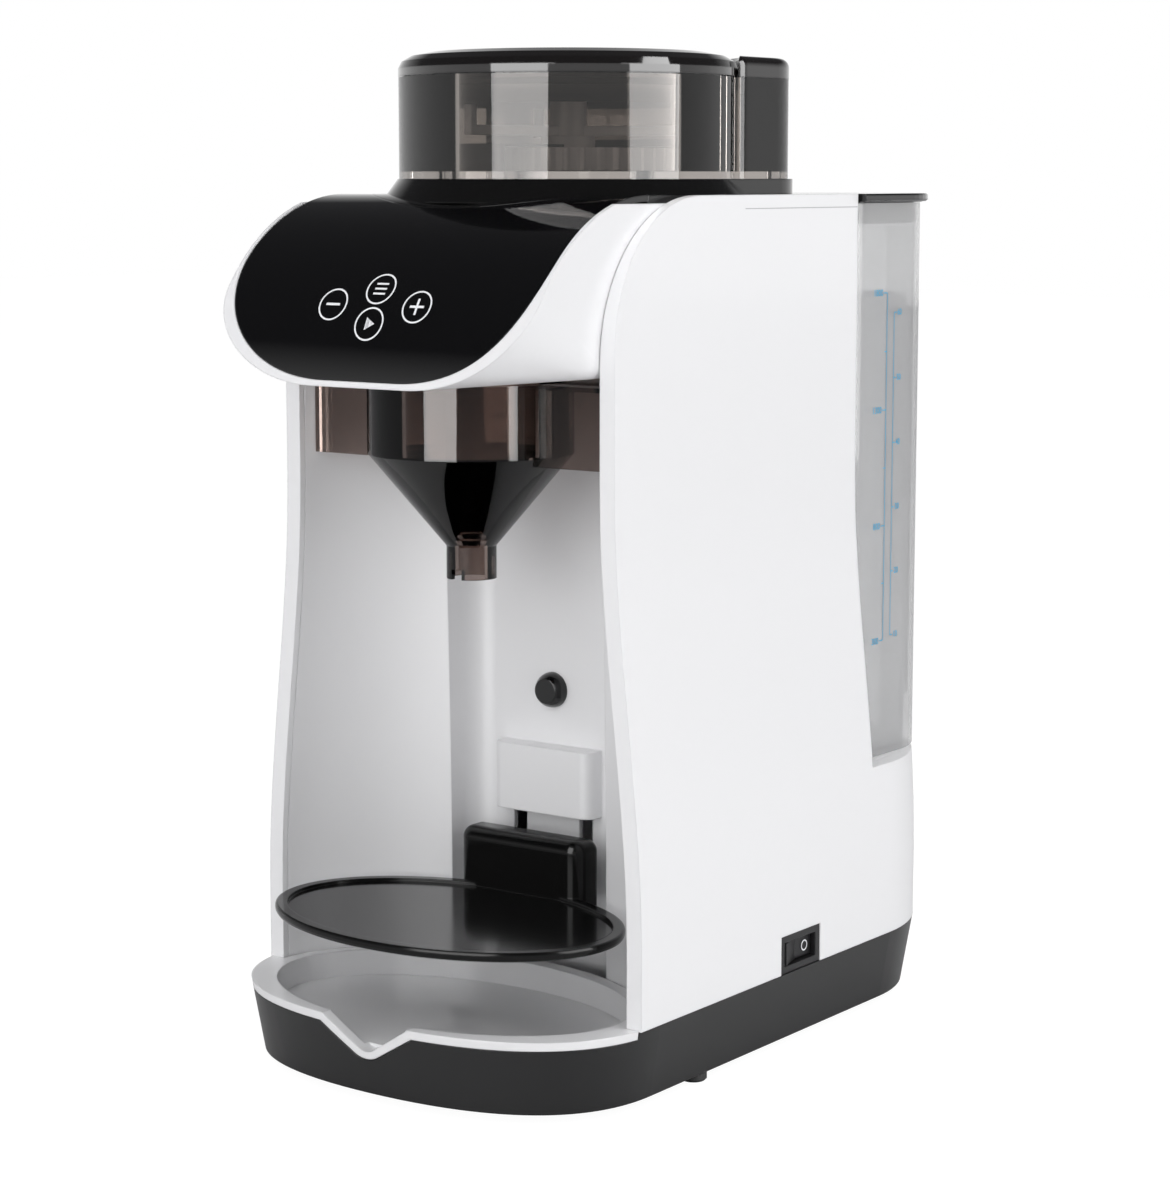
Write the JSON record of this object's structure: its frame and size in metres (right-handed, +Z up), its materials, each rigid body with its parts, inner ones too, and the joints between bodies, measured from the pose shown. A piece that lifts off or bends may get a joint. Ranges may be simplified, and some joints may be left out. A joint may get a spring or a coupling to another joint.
{
  "type": "baby formula maker",
  "caption": "Countertop machine that doses powder from a hopper and warm water from a rear tank through a funnel into a bottle below",
  "frame": {"origin": "middle of the machine's width and depth, on the floor under the rubber feet", "axes": "+Z up, +X to the right of a user who faces the machine, -Y towards the user"},
  "size_m": [0.19, 0.3148, 0.4086],
  "materials": {
    "white_gloss": "gloss",
    "white_matte": "satin",
    "black_gloss": "high gloss",
    "black_plastic": "satin",
    "smoke_dark": "high gloss",
    "smoke_clear": "clear smoked plastic",
    "smoke_brown": "clear brown plastic",
    "clear": "clear plastic",
    "rubber": "matte",
    "hose": "satin",
    "steel": "brushed",
    "circuit_board": "satin"
  },
  "bodies": {
    "chassis": {"base_skirt": "black_plastic", "base_plate": "black_plastic", "rubber_feet": "rubber", "base_screws": "steel", "side_shell_right": "white_gloss", "side_shell_left": "white_gloss", "bay_liner": "white_matte", "bottle_sensor": "black_gloss", "head_housing": "white_gloss", "face_panel": "black_gloss", "top_deck": "black_gloss", "tray_bed": "black_plastic", "funnel_rails": "white_matte", "powder_chute": "white_matte", "water_nozzle": "steel", "tank_cradle": "white_matte", "socket_seal": "rubber", "inner_frame": "white_matte", "water_pump": "black_plastic", "water_heater": "steel", "thermostat": "black_plastic", "inlet_hose": "hose", "heater_hose": "hose", "head_hose": "hose", "gear_motor": "steel", "control_board": "circuit_board", "touch_pads": "rubber", "power_board": "circuit_board", "switch_frame": "black_plastic", "cord_gland": "rubber"},
    "hopper": {"hopper_body": "smoke_clear", "gear_cover": "black_plastic", "leveller": "black_plastic", "pocket_cap": "smoke_dark"},
    "hopper_lid": {"hopper_lid": "smoke_dark", "lid_seal": "rubber"},
    "wheel": {"dosing_wheel": "white_matte", "agitator": "white_matte"},
    "pinion": {"drive_pinion": "white_matte"},
    "coupling": {"drive_coupling": "steel"},
    "funnel": {"funnel_drawer": "smoke_brown"},
    "platform": {"bottle_platform": "black_gloss"},
    "tray": {"drip_tray": "white_gloss"},
    "tank": {"water_tank": "clear", "strainer": "white_matte"},
    "tank_lid": {"tank_lid": "black_gloss", "tank_seal": "rubber"},
    "valve": {"valve_poppet": "white_matte", "valve_spring": "steel"},
    "rocker": {"switch_rocker": "black_plastic"}
  },
  "joints": [
    {"name": "hopper_lift", "type": "slide", "parent": "chassis", "child": "hopper", "axis": [0, 0, 1], "range_m": [0, 0.06]},
    {"name": "hopper_lid_lift", "type": "slide", "parent": "hopper", "child": "hopper_lid", "axis": [0, 0, 1], "range_m": [0, 0.05]},
    {"name": "wheel_turn", "type": "hinge", "parent": "hopper", "child": "wheel", "pos_m": [0, -0.0225, 0.365], "axis": [0, 0, 1], "continuous": true},
    {"name": "pinion_turn", "type": "hinge", "parent": "hopper", "child": "pinion", "pos_m": [0, 0.0315, 0.365], "axis": [0, 0, 1], "continuous": true},
    {"name": "coupling_turn", "type": "hinge", "parent": "chassis", "child": "coupling", "pos_m": [0, 0.0315, 0.35], "axis": [0, 0, 1], "continuous": true},
    {"name": "funnel_slide", "type": "slide", "parent": "chassis", "child": "funnel", "axis": [0, -1, 0], "range_m": [0, 0.11]},
    {"name": "platform_lift", "type": "slide", "parent": "chassis", "child": "platform", "axis": [0, 0, 1], "range_m": [0, 0.018]},
    {"name": "tray_lift", "type": "slide", "parent": "chassis", "child": "tray", "axis": [0, 0, 1], "range_m": [0, 0.024]},
    {"name": "tank_lift", "type": "slide", "parent": "chassis", "child": "tank", "axis": [0, 0, 1], "range_m": [0, 0.08]},
    {"name": "tank_lid_lift", "type": "slide", "parent": "tank", "child": "tank_lid", "axis": [0, 0, 1], "range_m": [0, 0.03]},
    {"name": "valve_open", "type": "slide", "parent": "tank", "child": "valve", "axis": [0, 0, 1], "range_m": [0, 0.0025], "stiffness_N_per_m": 60, "springref_m": -0.002, "deforming": ["valve_spring"]},
    {"name": "switch_rock", "type": "hinge", "parent": "chassis", "child": "rocker", "pos_m": [0.09, 0.0105, 0.0415], "axis": [0, 0, -1], "range_deg": [0, 14]}
  ],
  "couplings": [
    {"joint": "pinion_turn", "follows": "wheel_turn", "ratio": -5.75},
    {"joint": "coupling_turn", "follows": "wheel_turn", "ratio": -5.75}
  ]
}
